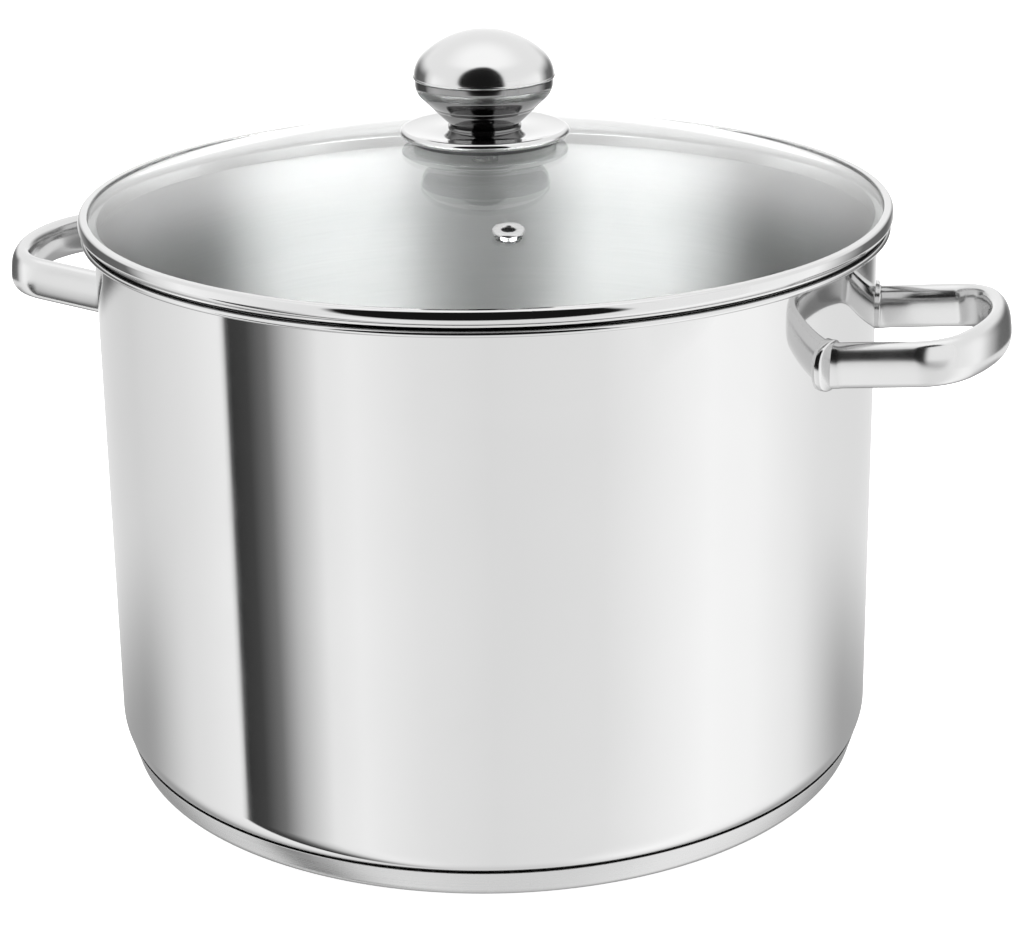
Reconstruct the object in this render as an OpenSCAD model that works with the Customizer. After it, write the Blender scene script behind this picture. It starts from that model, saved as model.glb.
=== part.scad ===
// Stock pot with two tube handles and a domed glass lid.
// Frame: +Z up, origin under the middle of the base, handles along X, front along -Y.
// Sections drawn in the XY plane are radius (X) against height (Y) before they are spun.

/* [Pot] */
// Inside diameter of the pot
pot_inner_d = 280; // [260:5:300]
// Height from the table to the top of the lip
pot_h = 200; // [180:5:260]
// Thickness of the pot's sheet steel
wall_t = 0.8; // [0.6:0.1:1]
// Outer radius of the corner between the wall and the floor
corner_r = 12; // [11:0.5:14]
// Radius under the lip, where the wall turns outwards
lip_fillet_r = 2.4; // [2:0.1:2.8]
// Radius of the rolled bead at the lip's edge
lip_bead_r = 1.05; // [0.9:0.05:1.2]

/* [Base] */
// Thickness of the aluminium disc that spreads the heat
core_t = 5.2; // [4:0.2:6]
// Thickness of the steel cap pressed over the disc
cap_t = 0.8; // [0.6:0.1:1]
// Height of the cap's upper edge
cap_h = 10.5; // [10:0.1:11]
// Radius of the flat face that the pot stands on
stand_r = 132.5; // [120:0.5:132.5]

/* [Handles] */
// Height of the handle's middle where it meets the wall
handle_z = 167.4; // [150:0.1:170]
// Half the distance between the middles of the two legs
handle_half_w = 36; // [32:1:42]
// Reach of the grip's middle line past the pot's wall
handle_reach = 45.5; // [42:0.5:52]
// Height of the tube's oval section
tube_h = 15.6; // [13:0.1:17]
// Thickness of the tube's oval section
tube_w = 7.7; // [7:0.1:9]
// Wall of the tube
tube_wall = 1.2; // [1:0.1:1.4]
// Upward tilt of the handles
handle_tilt = 6.7; // [0:0.1:9]
// Thickness of the weld feet
foot_t = 2.2; // [1.5:0.1:2.6]

/* [Lid] */
// Outside diameter of the lid's steel rim
rim_d = 292.2; // [292:0.1:293]
// Height of the rim
rim_h = 6.5; // [6.4:0.1:7]
// Gap between the lip and the closed lid
lid_gap = 0.3; // [0.3:0.05:0.5]
// Depth of the skirt that centres the lid in the mouth
skirt_depth = 4.2; // [3:0.1:6]
// Thickness of the glass
glass_t = 4; // [3.8:0.1:4]
// Rise of the dome from the rim to its top
dome_rise = 22; // [20:0.5:24]
// Distance of the steam vent from the middle of the lid
vent_offset = 95; // [80:1:105]
// Direction of the steam vent, turned from the front towards the right
vent_angle = 25.5; // [-180:0.5:180]

/* [Knob] */
// Radius of the knob
knob_r = 25.2; // [24:0.1:26]
// Height of the knob above its base plate
knob_h = 35.2; // [34:0.1:36]
// Radius of the base plate
plate_r = 30.5; // [29:0.1:31]
// Thickness of the base plate
plate_t = 2.9; // [2.6:0.1:3.2]
// Radius of the screw
screw_r = 2.5; // [2.4:0.05:2.6]

/* [Hidden] */
$fn = 96;

STEEL = "gainsboro";
SATIN_STEEL = "silver";
ALUMINIUM = "darkgray";
SILICONE = "dimgray";
GLASS = [0.85, 0.9, 0.92, 0.45];

arc_n = 10;            // straight pieces in a rounded corner
dome_n = 16;           // straight pieces in a long soft curve
glass_n = 48;          // straight pieces across the glass
cut_margin = 1;        // how far a cutting shape runs past what it cuts

// Pot
inner_r = pot_inner_d / 2;
outer_r = inner_r + wall_t;
floor_z = cap_t + core_t;
flange_r = outer_r + lip_fillet_r;

// Base: the cap hugs the corner at its top and rounds off to the table
cap_clearance = 0.05;
seam_r = corner_radius_at(outer_r, floor_z, corner_r, cap_h);
cap_top_r = seam_r + cap_t;
cap_foot_r = 4.5;      // radius of the cap's lower corner

// Handles
tube_power = 2.6;      // 2 is an ellipse, more is squarer
tube_n = 24;
bend_r = 16;           // middle-line radius of the two tight bends
bend_angle = 64;       // how far each tight bend turns
bend_step = 8;
front_n = 10;          // straight pieces in the wide front bend
front_r = bend_r + (handle_half_w - bend_r) / cos(bend_angle);
front_x = handle_reach - front_r;
bend_x = front_x + (front_r - bend_r) * sin(bend_angle);
foot_w = 16;
foot_h = 17.4;
foot_shift = 1.6;      // feet sit this far outside the legs' middles

// Lid
rim_r = rim_d / 2;
rim_z = pot_h + lid_gap;
rim_top_z = rim_z + rim_h;
rim_lip_w = 3.4;       // how far the rim reaches in over the glass
rim_flange_t = 0.8;
rim_top_round = 1.2;
rim_bottom_round = 2;
rim_face_r = 8;        // the rim's face bulges a little and leans in towards its top
skirt_clearance = 0.6;
skirt_r = inner_r - skirt_clearance;
glass_r = rim_r - 1.7;
glass_edge_z = rim_top_z - 0.8;
dome_edge_r = rim_r - rim_lip_w;
dome_r = (pow(dome_edge_r, 2) + pow(dome_rise, 2)) / (2 * dome_rise);
dome_centre_z = glass_edge_z + dome_rise - dome_r;
glass_top_z = dome_centre_z + dome_r;
glass_under_z = glass_top_z - glass_t;
hub_hole_r = 4.5;
fit_play = 0.05;       // keeps fittings and gaskets just off the curved glass

// Vent
vent_hole_r = 3.4;
vent_tilt = asin(vent_offset / dome_r);
eyelet_flange_r = 5.4;
eyelet_flange_t = 0.9;
eyelet_foot_r = 4.7;
eyelet_foot_t = 0.6;
eyelet_tube_r = 3.3;
eyelet_bore_r = 2.2;

// Knob
plate_z = glass_top_z + 1.3;
knob_z = plate_z + plate_t;
seam_z = knob_z + 18.6;
collar_r = 13.2;
collar_h = 0.9;
bowl_round_r = 7;
bowl_lean = 46;        // slope of the bowl's lower side
cap_side_r = 11;       // tight arc at the cap's edge
sheet_t = 0.8;
insert_r = 6;
insert_h = 10;
shank_r = screw_r - 0.05;
shank_gap = 0.25;      // free space round the shank in the pieces it clamps
gasket_r = 26;
sleeve_r = hub_hole_r - 0.1;
inner_gasket_r = 12;
inner_gasket_t = 1.5;
washer_r = 11;
washer_t = 1;
lock_r = 4.6;
lock_t = 1.1;
head_r = 4.8;
head_h = 3;
recess_w = 1.2;
recess_l = 5.6;
recess_depth = 1.8;
inner_gasket_z = glass_under_z - inner_gasket_t;
washer_z = inner_gasket_z - washer_t;
lock_z = washer_z - lock_t;
head_z = lock_z - head_h;

// Points along an arc, from angle a0 to angle a1
function arc(c, r, a0, a1, n = arc_n) =
    [for (i = [0:n]) c + r * [cos(a0 + (a1 - a0) * i / n), sin(a0 + (a1 - a0) * i / n)]];

// Radius of a round-cornered pan's outside at height z
function corner_radius_at(r, z0, rc, z) =
    r - rc + sqrt(pow(rc, 2) - pow(z0 + rc - z, 2));

// Closed oval between an ellipse and a rectangle
function oval(w, h, power, n) =
    [for (i = [0:n - 1])
        let (a = 360 * i / n, c = cos(a), s = sin(a))
        [w / 2 * sign(c) * pow(abs(c), 2 / power), h / 2 * sign(s) * pow(abs(s), 2 / power)]];

// Half section of a pan filled to height z1
module pan_section(r, z0, rc, z1) {
    polygon(concat([[0, z0]],
                   arc([r - rc, z0 + rc], rc, -90, 0),
                   [[r, z1], [0, z1]]));
}

module lip_section() {
    fillet_c = [flange_r, pot_h - wall_t - lip_fillet_r];
    polygon(concat(arc(fillet_c, lip_fillet_r, 180, 90),
                   arc(fillet_c, lip_fillet_r + wall_t, 90, 180)));
    translate([flange_r, pot_h - wall_t])
        square([lip_bead_r, wall_t]);
    translate([flange_r + lip_bead_r, pot_h - lip_bead_r])
        circle(lip_bead_r);
}

module pot_body() {
    wall_top = pot_h - wall_t - lip_fillet_r;
    color(STEEL) rotate_extrude() {
        difference() {
            pan_section(outer_r, floor_z, corner_r, wall_top);
            pan_section(inner_r, floor_z + wall_t, corner_r - wall_t, wall_top + cut_margin);
        }
        lip_section();
    }
}

module cap_section(r, z0, inset) {
    foot_c = [stand_r, cap_foot_r];
    polygon(concat([[0, z0]],
                   arc(foot_c, cap_foot_r - inset, -90, -8),
                   [[r, cap_h], [0, cap_h]]));
}

module base_cap() {
    color(SATIN_STEEL) rotate_extrude() difference() {
        cap_section(cap_top_r, 0, 0);
        cap_section(seam_r - cap_t, cap_t, cap_t);
        pan_section(outer_r + cap_clearance, floor_z, corner_r, cap_h + cut_margin);
    }
}

module base_core() {
    color(ALUMINIUM) rotate_extrude() difference() {
        cap_section(seam_r - cap_t, cap_t, cap_t);
        pan_section(outer_r + cap_clearance, floor_z, corner_r, cap_h + cut_margin);
    }
}

// Middle line of the right handle, leg to leg: [x, y, direction of the section's outer side],
// with x running outwards from the wall
stations =
    let (bend_y = handle_half_w - bend_r,
         turn = 90 - bend_angle)
    concat([[0, -handle_half_w, -90]],
           [for (a = [-90:bend_step:-turn]) bend_station(bend_x, -bend_y, bend_r, a)],
           [for (i = [1:front_n - 1]) bend_station(front_x, 0, front_r, turn * (2 * i / front_n - 1))],
           [for (a = [turn:bend_step:90]) bend_station(bend_x, bend_y, bend_r, a)],
           [[0, handle_half_w, 90]]);

function bend_station(x, y, r, a) = [x + r * cos(a), y + r * sin(a), a];

// A point at a station, u out from the middle line and v up, tilted with the handle
function tube_point(s, u, v) =
    let (x = s[0] + u * cos(s[2]))
    [outer_r + x * cos(handle_tilt) - v * sin(handle_tilt),
     s[1] + u * sin(s[2]),
     handle_z + x * sin(handle_tilt) + v * cos(handle_tilt)];

// The same point slid along the leg to the outside of the foot
function on_foot(p) =
    let (x = sqrt(pow(outer_r + foot_t, 2) - pow(p[1], 2)))
    [x, p[1], p[2] + (x - p[0]) * tan(handle_tilt)];

function tube_skin(w, h) =
    let (last = len(stations) - 1)
    [for (i = [0:last], q = oval(w, h, tube_power, tube_n))
        let (p = tube_point(stations[i], q[0], q[1]))
        i == 0 || i == last ? on_foot(p) : p];

// The right handle: a hollow tube whose ends are shaped to the feet
module grip() {
    rings = len(stations);
    skin = rings * tube_n;
    outer = tube_skin(tube_w, tube_h);
    inner = tube_skin(tube_w - 2 * tube_wall, tube_h - 2 * tube_wall);
    sides = [for (i = [0:rings - 2], j = [0:tube_n - 1])
                let (a = i * tube_n + j,
                     b = i * tube_n + (j + 1) % tube_n,
                     c = b + tube_n,
                     d = a + tube_n)
                each [[a, b, c], [a, c, d], [skin + c, skin + b, skin + a],
                      [skin + d, skin + c, skin + a]]];
    ends = [for (first = [0, skin - tube_n], j = [0:tube_n - 1])
               let (a = first + j,
                    b = first + (j + 1) % tube_n)
               each first == 0 ? [[b, a, skin + a], [b, skin + a, skin + b]]
                               : [[a, b, skin + b], [a, skin + b, skin + a]]];
    polyhedron(concat(outer, inner), concat(sides, ends));
}

// A foot of the right handle, curved to the wall; side is -1 in front, 1 behind
module foot(side) {
    straight = foot_h - foot_w;
    intersection() {
        translate([0, 0, handle_z - foot_h]) difference() {
            cylinder(r = outer_r + foot_t, h = 2 * foot_h);
            translate([0, 0, -cut_margin])
                cylinder(r = outer_r, h = 2 * foot_h + 2 * cut_margin);
        }
        translate([outer_r / 2, side * (handle_half_w + foot_shift), handle_z])
            rotate([90, 0, 90]) linear_extrude(outer_r) union() {
                translate([0, straight / 2]) circle(foot_w / 2);
                translate([0, -straight / 2]) circle(foot_w / 2);
                square([foot_w, straight], center = true);
            }
    }
}

module handle_right() {
    color(STEEL) grip();
}

module foot_right_front() {
    color(STEEL) foot(-1);
}

module foot_right_rear() {
    color(STEEL) foot(1);
}

module handle_left() {
    color(STEEL) mirror([1, 0, 0]) grip();
}

module foot_left_front() {
    color(STEEL) mirror([1, 0, 0]) foot(-1);
}

module foot_left_rear() {
    color(STEEL) mirror([1, 0, 0]) foot(1);
}

// Points along a sphere about the dome's centre, from radius x0 out to radius x1
function dome_arc(r, x0, x1, n = dome_n) =
    arc([0, dome_centre_z], r, acos(x0 / r), acos(x1 / r), n);

// Half section of the domed glass, with its edge cut square to the table
module glass_section(hole_r) {
    polygon(concat(dome_arc(dome_r, hole_r, glass_r, glass_n),
                   dome_arc(dome_r - glass_t, glass_r, hole_r, glass_n)));
}

// Moves children from the glass's outer face at the vent, square to the glass
module at_vent() {
    rotate(vent_angle) translate([0, 0, dome_centre_z]) rotate([vent_tilt, 0, 0])
        translate([0, 0, dome_r]) children();
}

module lid_glass() {
    color(GLASS) difference() {
        rotate_extrude() glass_section(hub_hole_r);
        at_vent() translate([0, 0, -2 * glass_t])
            cylinder(r = vent_hole_r, h = 3 * glass_t);
    }
}

// Half section of the rim round the glass: a round underside, a bulging face, a tight top
module rim_section() {
    face_c = [rim_r - rim_face_r, rim_z + rim_bottom_round];
    top_reach = rim_face_r - rim_top_round;
    lean = asin((rim_h - rim_bottom_round - rim_top_round) / top_reach);
    difference() {
        polygon(concat([[dome_edge_r, rim_z]],
                       arc([rim_r - rim_bottom_round, face_c[1]], rim_bottom_round, -90, 0),
                       arc(face_c, rim_face_r, 0, lean),
                       arc(face_c + top_reach * [cos(lean), sin(lean)], rim_top_round, lean, 90),
                       [[dome_edge_r, rim_top_z]]));
        glass_section(hub_hole_r);
    }
    translate([skirt_r - rim_flange_t, rim_z])
        square([dome_edge_r - skirt_r + 2 * rim_flange_t, rim_flange_t]);
    translate([skirt_r - rim_flange_t, pot_h - skirt_depth])
        square([rim_flange_t, skirt_depth + lid_gap + rim_flange_t]);
}

module lid_rim() {
    color(STEEL) rotate_extrude() rim_section();
}

module vent_eyelet() {
    foot_z = -glass_t - fit_play - eyelet_foot_t;
    color(STEEL) at_vent() rotate_extrude() difference() {
        union() {
            translate([0, fit_play])
                polygon(concat([[0, 0]],
                               arc([eyelet_flange_r - eyelet_flange_t, 0], eyelet_flange_t, 0, 90),
                               [[0, eyelet_flange_t]]));
            translate([0, foot_z])
                square([eyelet_foot_r, eyelet_foot_t]);
            translate([0, foot_z])
                square([eyelet_tube_r, glass_t + 2 * fit_play + eyelet_foot_t]);
        }
        translate([-cut_margin, foot_z - cut_margin])
            square([eyelet_bore_r + cut_margin, 3 * glass_t]);
    }
}

// Outside of the knob's cap: a tight arc at the edge, a wide arc over the top
function cap_outline(r, side_r, rise) =
    let (dx = r - side_r,
         top_r = (pow(dx, 2) + pow(rise, 2) - pow(side_r, 2)) / (2 * (rise - side_r)),
         turn = asin(dx / (top_r - side_r)))
    concat(arc([dx, seam_z], side_r, 0, 90 - turn, dome_n),
           arc([0, seam_z + rise - top_r], top_r, 90 - turn, 90, dome_n));

module knob_cap() {
    rise = knob_z + knob_h - seam_z;
    color(STEEL) rotate_extrude() {
        difference() {
            polygon(concat([[0, seam_z]], cap_outline(knob_r, cap_side_r, rise)));
            polygon(concat([[0, seam_z]],
                           cap_outline(knob_r - sheet_t, cap_side_r - sheet_t, rise - sheet_t)));
        }
        // rolled edge
        translate([knob_r - sheet_t / 2, seam_z])
            circle(sheet_t * 0.8);
    }
}

// Outside of the knob's bowl, from the collar up to just under the cap's rolled edge
function bowl_outline(r, round_r, inset) =
    let (c = [r - round_r, seam_z - 1.6 - sheet_t],
         low = knob_z + collar_h + inset,
         edge = c + round_r * [cos(-bowl_lean), sin(-bowl_lean)],
         run = (edge[1] - low) * tan(bowl_lean))
    concat([[edge[0] - run, low]],
           arc(c, round_r, -bowl_lean, 0),
           [[r, seam_z - sheet_t]]);

module knob_bowl() {
    color(STEEL) rotate_extrude() difference() {
        union() {
            polygon(concat([[0, knob_z + collar_h]],
                           bowl_outline(knob_r - sheet_t / 2, bowl_round_r, 0),
                           [[0, seam_z - sheet_t]]));
            translate([0, knob_z])
                square([collar_r, collar_h + sheet_t]);
        }
        polygon(concat([[0, knob_z + collar_h + sheet_t]],
                       bowl_outline(knob_r - 1.5 * sheet_t, bowl_round_r - sheet_t, sheet_t),
                       [[0, seam_z]]));
        translate([0, knob_z - cut_margin])
            square([screw_r + shank_gap, 2 * cut_margin + collar_h + sheet_t]);
    }
}

module knob_insert() {
    color(STEEL) translate([0, 0, knob_z + collar_h + sheet_t]) difference() {
        cylinder(r = insert_r, h = insert_h, $fn = 6);
        translate([0, 0, -cut_margin])
            cylinder(r = screw_r, h = insert_h + 2 * cut_margin);
    }
}

module knob_plate() {
    edge_r = plate_t / 2;
    lip_w = 1.2;
    dish = 0.35;
    color(STEEL) rotate_extrude() difference() {
        polygon(concat([[screw_r + shank_gap, plate_z]],
                       arc([plate_r - edge_r, plate_z + edge_r], edge_r, -90, 90),
                       [[plate_r - edge_r - lip_w, plate_z + plate_t - dish],
                        [collar_r + 2 * lip_w, plate_z + plate_t - dish],
                        [collar_r + lip_w, plate_z + plate_t],
                        [screw_r + shank_gap, plate_z + plate_t]]));
    }
}

// Silicone ring under the plate, with a sleeve down through the glass
module outer_gasket() {
    inner = screw_r + shank_gap;
    color(SILICONE) rotate_extrude()
        polygon(concat([[inner, plate_z], [inner, glass_under_z], [sleeve_r, glass_under_z]],
                       dome_arc(dome_r + fit_play, sleeve_r, gasket_r),
                       [[gasket_r, plate_z]]));
}

module inner_gasket() {
    inner = screw_r + shank_gap;
    color(SILICONE) rotate_extrude()
        polygon(concat([[inner, inner_gasket_z]],
                       dome_arc(dome_r - glass_t - fit_play, inner, inner_gasket_r),
                       [[inner_gasket_r, inner_gasket_z]]));
}

module ring(r, z, t) {
    translate([0, 0, z]) difference() {
        cylinder(r = r, h = t);
        translate([0, 0, -cut_margin])
            cylinder(r = screw_r + shank_gap, h = t + 2 * cut_margin);
    }
}

module clamp_washer() {
    color(STEEL) ring(washer_r, washer_z, washer_t);
}

module lock_washer() {
    color(SATIN_STEEL) ring(lock_r, lock_z, lock_t);
}

module knob_screw() {
    shank_top_z = knob_z + collar_h + sheet_t + insert_h - 1;
    color(STEEL) difference() {
        union() {
            translate([0, 0, head_z])
                cylinder(r = head_r, h = head_h);
            translate([0, 0, head_z + head_h / 2])
                cylinder(r = shank_r, h = shank_top_z - head_z - head_h / 2);
        }
        for (a = [0, 90])
            rotate(a) translate([-recess_l / 2, -recess_w / 2, head_z - cut_margin])
                cube([recess_l, recess_w, recess_depth + cut_margin]);
    }
}

pot_body();
base_core();
base_cap();
handle_right();
foot_right_front();
foot_right_rear();
handle_left();
foot_left_front();
foot_left_rear();
lid_glass();
lid_rim();
vent_eyelet();
knob_cap();
knob_bowl();
knob_insert();
knob_plate();
outer_gasket();
inner_gasket();
clamp_washer();
lock_washer();
knob_screw();
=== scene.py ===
import math

import bmesh
import bpy
from mathutils import Matrix, Vector


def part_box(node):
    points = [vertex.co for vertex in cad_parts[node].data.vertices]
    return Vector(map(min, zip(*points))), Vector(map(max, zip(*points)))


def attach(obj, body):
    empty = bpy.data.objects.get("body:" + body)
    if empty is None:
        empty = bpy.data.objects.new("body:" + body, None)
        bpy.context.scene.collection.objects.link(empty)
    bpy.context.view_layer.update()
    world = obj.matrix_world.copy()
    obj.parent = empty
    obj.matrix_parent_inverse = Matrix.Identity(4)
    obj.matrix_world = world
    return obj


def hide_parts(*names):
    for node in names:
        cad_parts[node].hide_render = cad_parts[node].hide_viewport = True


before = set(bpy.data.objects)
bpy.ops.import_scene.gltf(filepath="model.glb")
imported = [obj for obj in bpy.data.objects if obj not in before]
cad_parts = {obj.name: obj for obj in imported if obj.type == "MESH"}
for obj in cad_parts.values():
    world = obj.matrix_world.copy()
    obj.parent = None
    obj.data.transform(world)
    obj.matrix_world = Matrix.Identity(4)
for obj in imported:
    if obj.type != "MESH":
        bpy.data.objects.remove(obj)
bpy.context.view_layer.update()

# Lengths are in millimetres up to the mesh builders, which turn them into metres.
# The studio at the end is in metres.
MM = 0.001


def low(node, axis):
    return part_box(node)[0][axis] / MM


def high(node, axis):
    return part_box(node)[1][axis] / MM


# ---------------------------------------------------------------- driving sizes

X, Y, Z = range(3)

# Pot
POT_TOP = high("pot_body", Z)
FLOOR_UNDER = low("pot_body", Z)
WALL = 0.8
LIP_FILLET = 2.4
BEAD = 1.05
CORNER = 12.0
FLANGE_R = high("pot_body", X) - 2 * BEAD
OUTER_R = FLANGE_R - LIP_FILLET
INNER_R = OUTER_R - WALL
BASE_RINGS = (40, 80, 115)      # radii of the vertex rings across the flat bottom
POLISHED_STEPS = 6              # how far down the inside the polish of the lip runs

# Base cap
CAP_TOP = high("base_cap", Z)
CAP_TOP_R = high("base_cap", X)
CAP_FOOT = 4.5
STAND_R = 132.5
CAP_RINGS = (45, 90, 120)
CAP_SIDE_TURN = -8              # where the foot's round ends, in degrees from level
CAP_EDGE_ROUND = 0.15
CAP_LIP_DROP = 0.25             # from the top of the cap to where it meets the pot
CAP_LIP_IN, CAP_LIP_TALL = 0.5, 1.2

# Handles
HANDLE_Z = 167.4
HANDLE_HALF_W = 36.0
TUBE_H, TUBE_W, TUBE_POWER = 15.6, 7.7, 2.6
TILT = math.radians(6.7)
BEND_R = 16.0
BEND_TURN = math.radians(64)
FRONT_R = BEND_R + (HANDLE_HALF_W - BEND_R) / math.cos(BEND_TURN)
REACH = 45.5
FRONT_X = REACH - FRONT_R
BEND_X = FRONT_X + (FRONT_R - BEND_R) * math.sin(BEND_TURN)
FOOT_T = 2.2
FOOT_W, FOOT_H, FOOT_SHIFT, FOOT_POWER = 16.0, 17.4, 1.6, 2.3
FOOT_SINK = 0.6                 # how deep the tube's end is set in the foot
# (inset from the foot's edge, height above the wall)
FOOT_PILLOW = ((0, 0), (0, 1.3), (0.12, 1.5), (0.4, 1.65), (1.2, 1.8), (2.6, 2.0),
               (4.4, 2.15), (6.4, FOOT_T))
# (distance from the foot, how much wider the tube is there)
ROOT_FLARE = 0.05
WELD = ((0, ROOT_FLARE), (0.5, 0.03), (1.0, 0.015), (1.8, 0.005), (2.8, 0))

# Lid
RIM_R = high("lid_rim", X)
RIM_Z = POT_TOP + 0.3
RIM_TOP = high("lid_rim", Z)
SKIRT_LOW = low("lid_rim", Z)
SKIRT_R = INNER_R - 0.6
SHEET = 0.8
RIM_REACH = 3.4
# The gap reads dark because the rim's underside above it is painted near black as painted shade.
HEM_LIFT = 1.5                  # shadow gap between the rim's rolled hem and the pot's lip
SEAT_R, HEM_R = FLANGE_R - 1.2, FLANGE_R - 0.8
RIM_EDGE_ROUND = 0.3
RIM_LOW_ROUND, RIM_FACE_R, RIM_TOP_ROUND = 2.0, 8.0, 1.2
GLASS_T = 4.0
GLASS_R = high("lid_glass", X)
DOME_EDGE_R = RIM_R - RIM_REACH
GLASS_EDGE_Z = RIM_TOP - 0.8
DOME_RISE = 22.0
DOME_R = (DOME_EDGE_R ** 2 + DOME_RISE ** 2) / (2 * DOME_RISE)
DOME_Z = GLASS_EDGE_Z + DOME_RISE - DOME_R
HUB_HOLE_R = 4.5
VENT_ANGLE = math.radians(25.5)
VENT_OFFSET = 95.0
VENT_HOLE_R = 3.4
RIM_JOINT_ANGLE = math.radians(26.5)
RIM_JOINT_HALF = math.radians(0.07)
RIM_JOINT_DEPTH = 0.012
# These underside steps are painted near black as painted shade.
UNDERSIDE_STEPS = 2             # outline steps of the rim's face that lie underneath
GRIND = 0.4                     # bevel on the edges of the glass

# Knob
KNOB_TOP = high("knob_cap", Z)
KNOB_R = 25.2
KNOB_SIDE_R = 11
KNOB_ROLL_R = 0.64
PLATE_LOW = low("knob_plate", Z)
PLATE_TOP = high("knob_plate", Z)
PLATE_R = high("knob_plate", X)
SEAM_Z = PLATE_TOP + 18.6
COLLAR_R, COLLAR_H = 13.2, 0.9
BORE_R = 2.75
CUP_ROUND_R, CUP_LEAN = 7.0, 46
CUP_SHOULDER = 1.6              # from the knob's seam down to the end of the cup's bend
# (share of the way up the cup's slope, depth of the pressed step)
CUP_STEPS = ((0.5, 0), (0.52, 0.16), (0.56, 0.16), (0.58, 0), (0.66, 0), (0.68, 0.12), (0.7, 0))
DISH_DEPTH, DISH_LIP, DISH_LIP_DROP = 0.35, 0.5, 0.06
DISH_RAMP = 1.2

# Columns in the turned pieces
AROUND = 360
AROUND_PLATE = 240
AROUND_KNOB = 160
AROUND_EYELET = 96
AROUND_DRILL = 64
SHARP = math.radians(32)    # a crease sharper than this stays sharp


# ---------------------------------------------------------------- outlines

def arc(centre, radius, start, end, steps=16):
    """Points along an arc, in degrees, as (radius from the axis, height)."""
    points = []
    for i in range(steps + 1):
        a = math.radians(start + (end - start) * i / steps)
        points.append((centre[0] + radius * math.cos(a), centre[1] + radius * math.sin(a)))
    return points


def dome_arc(radius, inner, outer, steps=72):
    """Points along a sphere about the dome's centre, between two distances from the axis."""
    start = math.degrees(math.acos(inner / radius))
    end = math.degrees(math.acos(outer / radius))
    return arc((0, DOME_Z), radius, start, end, steps)


def dome_height(radius, distance):
    return DOME_Z + math.sqrt(radius ** 2 - distance ** 2)


def superellipse(width, height, power, steps):
    points = []
    for i in range(steps):
        a = 2 * math.pi * i / steps
        c, s = math.cos(a), math.sin(a)
        u = math.copysign(abs(c) ** (2 / power), c) * width / 2
        v = math.copysign(abs(s) ** (2 / power), s) * height / 2
        points.append((u, v))
    return points


# ---------------------------------------------------------------- mesh builders

def finish_mesh(name, bm, materials, matrix=None):
    """Turns a bmesh into a smooth-shaded object with sharp creases kept."""
    bmesh.ops.remove_doubles(bm, verts=bm.verts, dist=1e-7)
    bmesh.ops.recalc_face_normals(bm, faces=bm.faces)
    if matrix is not None:
        bm.transform(matrix)
    mesh = bpy.data.meshes.new(name)
    bm.to_mesh(mesh)
    bm.free()
    mesh.shade_smooth()
    mesh.set_sharp_from_angle(angle=SHARP)
    piece = bpy.data.objects.new(name, mesh)
    bpy.context.collection.objects.link(piece)
    for material in materials:
        mesh.materials.append(material)
    return piece


def even_angles(count):
    return [2 * math.pi * i / count for i in range(count)]


def lathe(name, outline, materials, angles=None, pick=None, dent=None, matrix=None):
    """Spins a closed outline of (radius, height) about Z.

    pick gives a face's material index from its outline step, and dent changes a point's
    radius from its angle and outline step."""
    angles = angles or even_angles(AROUND)
    bm = bmesh.new()
    columns = []
    poles = {}
    for angle in angles:
        column = []
        for step, (r, z) in enumerate(outline):
            if r < 1e-6:
                if step not in poles:
                    poles[step] = bm.verts.new((0, 0, z * MM))
                column.append(poles[step])
                continue
            if dent:
                r = r + dent(angle, step)
            place = (r * math.cos(angle) * MM, r * math.sin(angle) * MM, z * MM)
            column.append(bm.verts.new(place))
        columns.append(column)
    count = len(outline)
    for i, here in enumerate(columns):
        there = columns[(i + 1) % len(columns)]
        for step in range(count):
            after = (step + 1) % count
            corners = []
            for vert in (here[step], here[after], there[after], there[step]):
                if vert not in corners:
                    corners.append(vert)
            if len(corners) > 2:
                face = bm.faces.new(corners)
                face.material_index = pick(step) if pick else 0
    return finish_mesh(name, bm, materials, matrix)


def loft(name, rings, materials):
    """Joins rings of points, in millimetres, and closes both ends with a fan."""
    bm = bmesh.new()
    made = [[bm.verts.new(Vector(p) * MM) for p in ring] for ring in rings]
    count = len(rings[0])
    for here, there in zip(made, made[1:]):
        for i in range(count):
            after = (i + 1) % count
            bm.faces.new((here[i], here[after], there[after], there[i]))
    for ring in (made[0], made[-1]):
        middle = bm.verts.new(sum((v.co for v in ring), Vector()) / count)
        for i in range(count):
            bm.faces.new((ring[i], ring[(i + 1) % count], middle))
    return finish_mesh(name, bm, materials)


# ---------------------------------------------------------------- material helpers

class Nodes:
    """Short ways to add nodes to the tree of a material or of the world."""

    def node(self, kind, inputs=None, **settings):
        made = self.tree.nodes.new(kind)
        for name, value in settings.items():
            setattr(made, name, value)
        for key, value in (inputs or {}).items():
            if hasattr(value, "is_output"):
                self.tree.links.new(value, made.inputs[key])
            else:
                made.inputs[key].default_value = value
        return made

    def math(self, operation, *values):
        made = self.node("ShaderNodeMath", dict(enumerate(values)), operation=operation)
        return made.outputs[0]


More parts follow.
